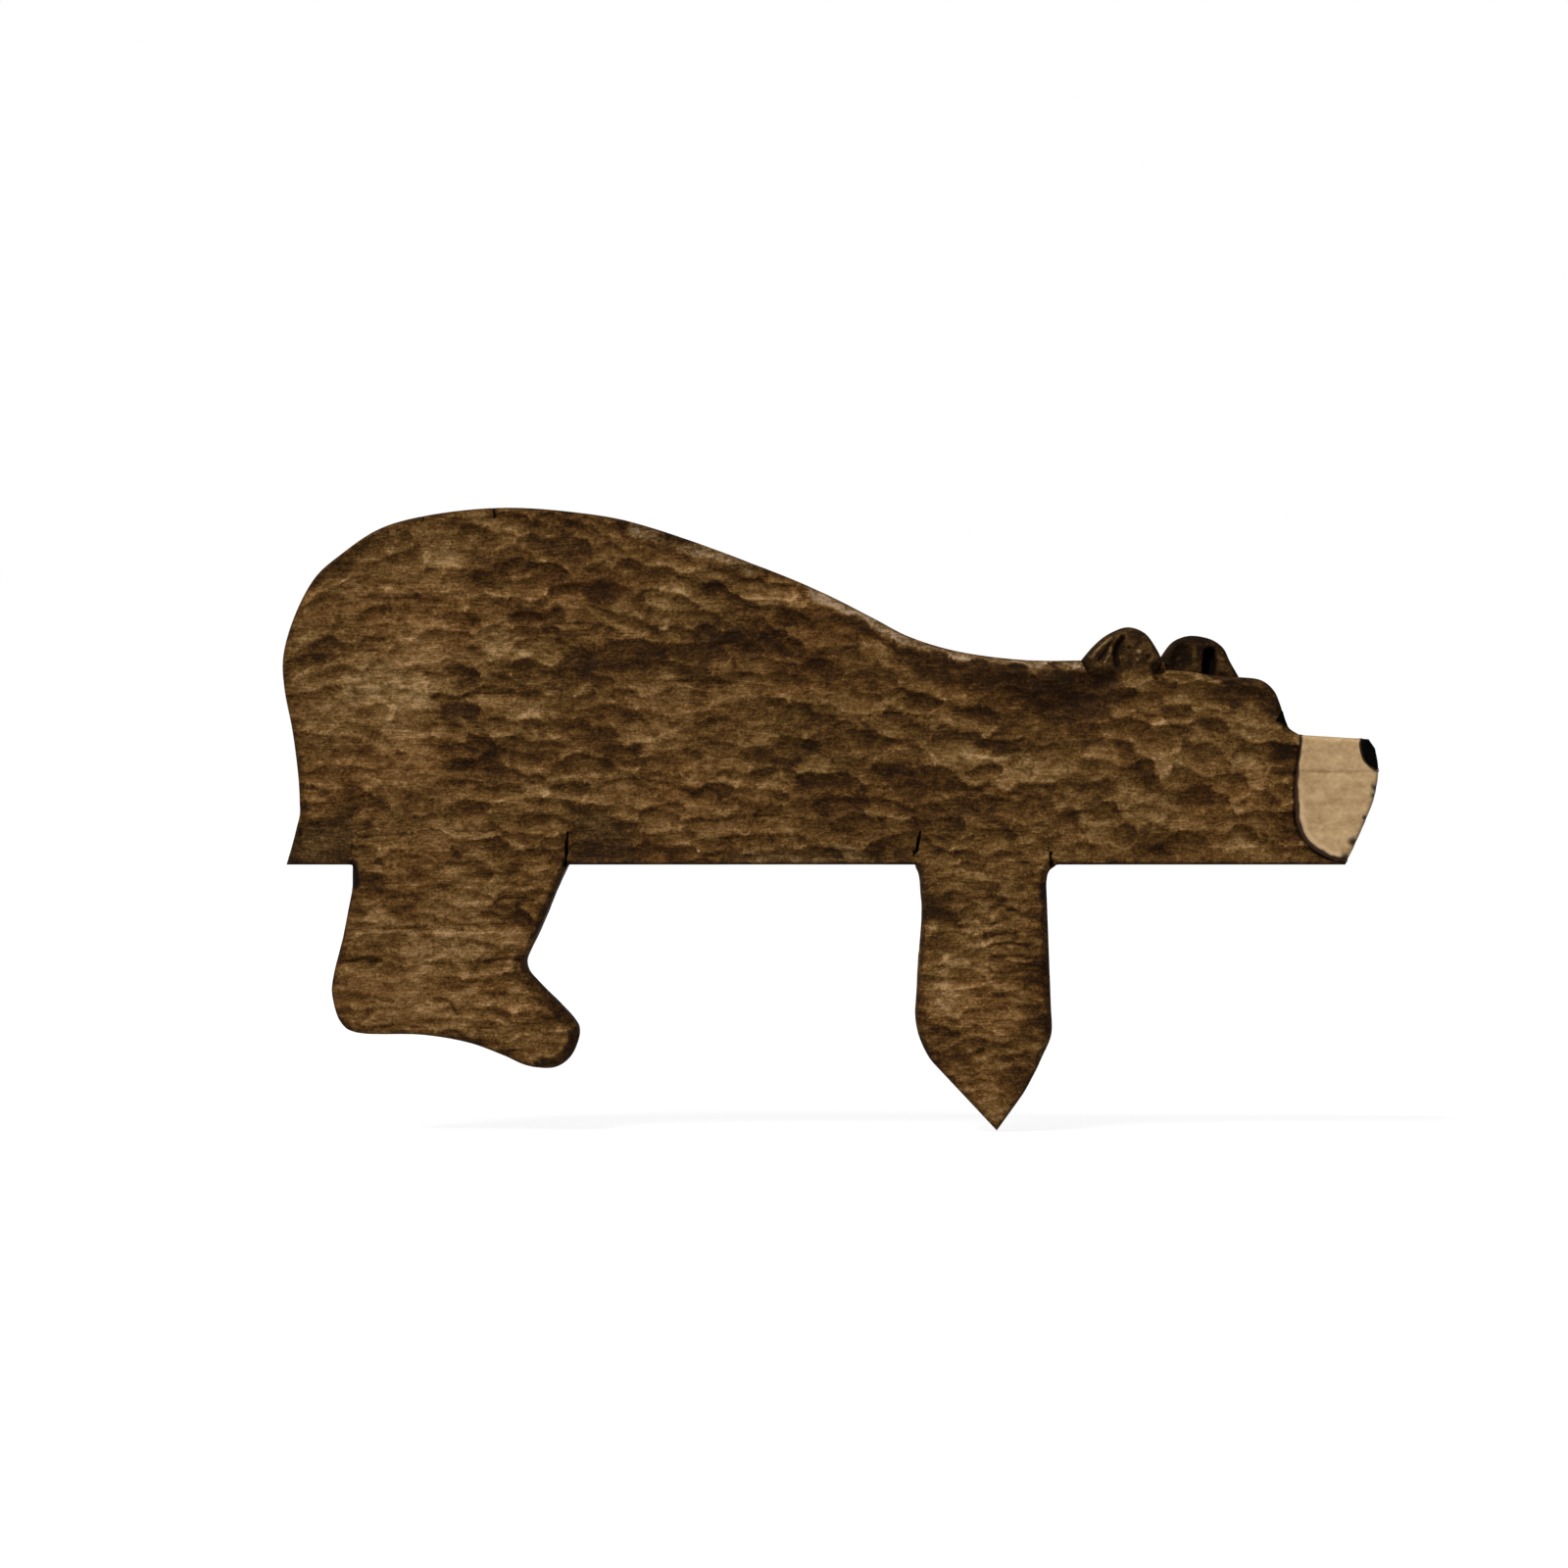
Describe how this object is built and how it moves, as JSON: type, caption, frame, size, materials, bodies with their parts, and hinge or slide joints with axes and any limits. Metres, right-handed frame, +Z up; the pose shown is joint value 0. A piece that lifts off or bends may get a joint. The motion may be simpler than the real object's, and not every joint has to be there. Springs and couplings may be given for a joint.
{
  "type": "carved wooden bear ledge figurine",
  "caption": "Carved wooden bear lying on a flat belly that rests on a ledge or door casing, with its legs hanging down in front, small ears, a pale muzzle and a black nose.",
  "frame": {"origin": "middle of the back board's underside, where the belly rests on the ledge", "axes": "+X towards the nose, -Y towards the room (the carved side), +Y towards the wall, +Z up"},
  "size_m": [0.3053, 0.038, 0.1736],
  "materials": {
    "stained_wood": "hand-gouged softwood, walnut-brown oil stain, satin, darker along the edges and in the gouge cuts",
    "dark_stained_wood": "end-grain softwood, the same stain soaked in darker, matt",
    "bare_wood": "sanded unstained softwood, thin clear coat",
    "black_paint": "wood painted black, satin",
    "dowel_wood": "smooth unfinished hardwood dowel"
  },
  "bodies": {
    "root": {"front_board": "stained_wood", "back_board": "stained_wood", "hind_leg": "stained_wood", "front_leg": "stained_wood", "right_ear": "dark_stained_wood", "left_ear": "dark_stained_wood", "muzzle": "bare_wood", "nose": "black_paint", "right_eye": "black_paint", "left_eye": "black_paint", "hind_leg_dowel_rear": "dowel_wood", "hind_leg_dowel_front": "dowel_wood", "front_leg_dowel_rear": "dowel_wood", "front_leg_dowel_front": "dowel_wood", "board_dowel_rear": "dowel_wood", "board_dowel_front": "dowel_wood", "muzzle_dowel_right": "dowel_wood", "muzzle_dowel_left": "dowel_wood", "right_ear_pin": "dowel_wood", "left_ear_pin": "dowel_wood"}
  },
  "joints": []
}
